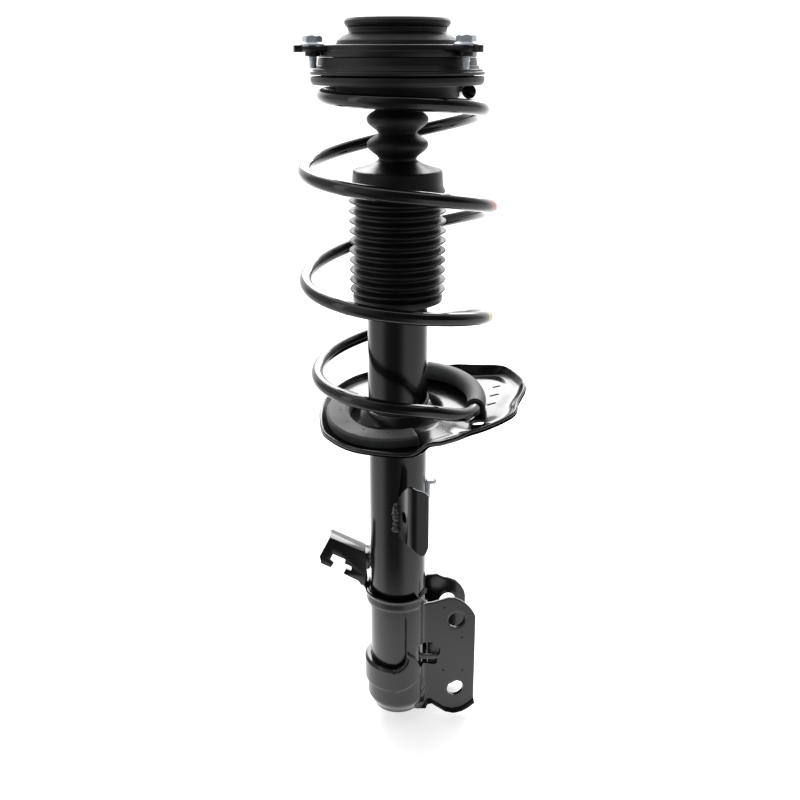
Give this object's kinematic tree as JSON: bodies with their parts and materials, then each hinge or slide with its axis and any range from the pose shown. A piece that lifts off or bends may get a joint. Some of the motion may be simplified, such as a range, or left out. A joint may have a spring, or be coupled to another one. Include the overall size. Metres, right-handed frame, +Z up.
{
  "type": "suspension strut assembly",
  "caption": "Front suspension strut: twin-tube damper with coil spring, bearing top mount, bump stop, dust boot, knuckle bracket, link plate and hose clip.",
  "frame": {"origin": "centre of the closed lower end of the damper tube", "axes": "+Z up the damper axis to the top mount; +X the way the two knuckle flanges point; -Y out of the outer face of the front flange"},
  "size_m": [0.2002, 0.163, 0.6316],
  "materials": {
    "black_paint": "gloss black dip-coat on steel",
    "bare_steel": "plain machined",
    "chromed_rod": "hard chrome, ground",
    "sintered_iron": "dull sintered",
    "black_rubber": "moulded, dull",
    "grey_rubber": "moulded, matt",
    "black_plastic": "moulded, satin",
    "zinc_plate": "bright zinc plate",
    "weld_bead": "rough weld, painted over"
  },
  "bodies": {
    "lower_strut": {"damper_tube": "black_paint", "tube_end_cap": "black_paint", "foot_valve": "sintered_iron", "inner_cylinder": "bare_steel", "rod_guide": "sintered_iron", "rod_seal": "black_rubber", "tube_top_cap": "black_paint", "knuckle_bracket": "black_paint", "bracket_reinforcement": "black_paint", "lower_spring_seat": "black_paint", "lower_insulator": "grey_rubber", "coil_end_sleeve": "grey_rubber", "coil_spring": "black_paint", "link_bracket": "black_paint", "link_bracket_weld": "weld_bead", "hose_bracket": "black_paint", "sensor_tab": "zinc_plate"},
    "upper_seat": {"upper_spring_seat": "black_paint", "upper_insulator": "black_rubber", "bump_stop_cup": "black_paint", "bump_stop": "black_rubber", "dust_boot": "black_rubber"},
    "top_mount": {"bearing_upper_cover": "black_plastic", "bearing_ball_ring": "bare_steel", "bearing_seal": "black_rubber", "mount_plate": "black_paint", "mount_rubber": "black_rubber", "mount_cap": "black_rubber", "mount_sleeve": "bare_steel", "rod_washer": "zinc_plate", "rod_nut": "zinc_plate", "piston_rod": "chromed_rod", "piston": "sintered_iron", "piston_nut": "bare_steel", "rebound_stop": "black_plastic", "mount_bolt_1": "zinc_plate", "mount_bolt_2": "zinc_plate", "mount_bolt_3": "zinc_plate", "weld_nut_1": "bare_steel", "weld_nut_2": "bare_steel", "weld_nut_3": "bare_steel"}
  },
  "joints": [
    {"name": "damper_stroke", "type": "slide", "parent": "lower_strut", "child": "upper_seat", "axis": [0, 0, -1], "range_m": [0, 0.11], "stiffness_N_per_m": 25000, "springref_m": -0.06, "deforming": ["coil_spring", "dust_boot", "bump_stop"]},
    {"name": "steer_swivel", "type": "hinge", "parent": "upper_seat", "child": "top_mount", "pos_m": [0, 0, 0.57], "axis": [0, 0, 1], "continuous": true}
  ]
}
